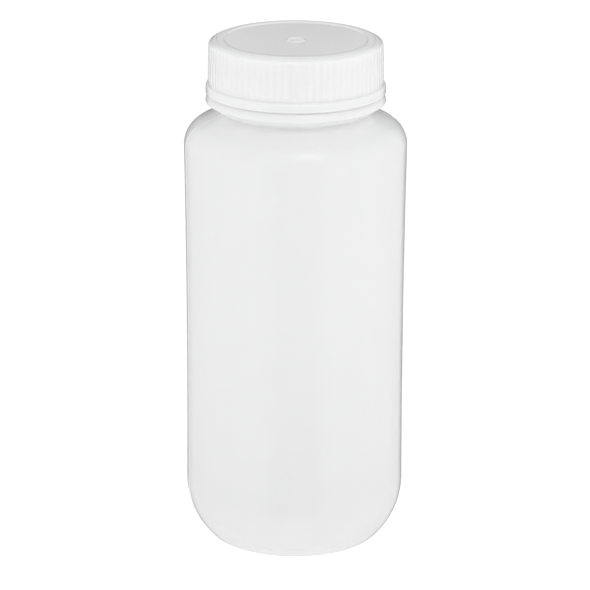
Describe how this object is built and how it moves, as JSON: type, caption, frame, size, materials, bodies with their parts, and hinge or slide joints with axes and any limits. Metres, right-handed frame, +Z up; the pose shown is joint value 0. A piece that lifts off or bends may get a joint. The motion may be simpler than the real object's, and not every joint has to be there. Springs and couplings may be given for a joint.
{
  "type": "wide-mouth plastic reagent bottle",
  "caption": "Round wide-mouth plastic reagent bottle with rounded shoulder and heel, ribbed screw cap and a loose sealing liner.",
  "frame": {"origin": "centre of the base, on the plane the bottle stands on", "axes": "+Z up along the bottle's axis, out of the mouth; +X and +Y are free, because the outside is turned about +Z"},
  "size_m": [0.074, 0.074, 0.1719],
  "materials": {
    "bottle_plastic": "natural translucent polyethylene, satin moulded surface",
    "cap_plastic": "natural translucent polypropylene, semi-gloss moulded surface",
    "liner_foam": "white closed-cell foam"
  },
  "bodies": {
    "bottle": {"bottle": "bottle_plastic"},
    "liner": {"sealing_liner": "liner_foam"},
    "cap": {"screw_cap": "cap_plastic"}
  },
  "joints": [
    {"name": "cap_rise", "type": "slide", "parent": "bottle", "child": "liner", "axis": [0, 0, 1], "range_m": [0, 0.02032]},
    {"name": "cap_turn", "type": "hinge", "parent": "liner", "child": "cap", "pos_m": [0, 0, 0.15405], "axis": [0, 0, 1], "range_deg": [0, 1440]}
  ],
  "couplings": [
    {"joint": "cap_rise", "follows": "cap_turn", "m_per_rad": 0.00080851}
  ]
}
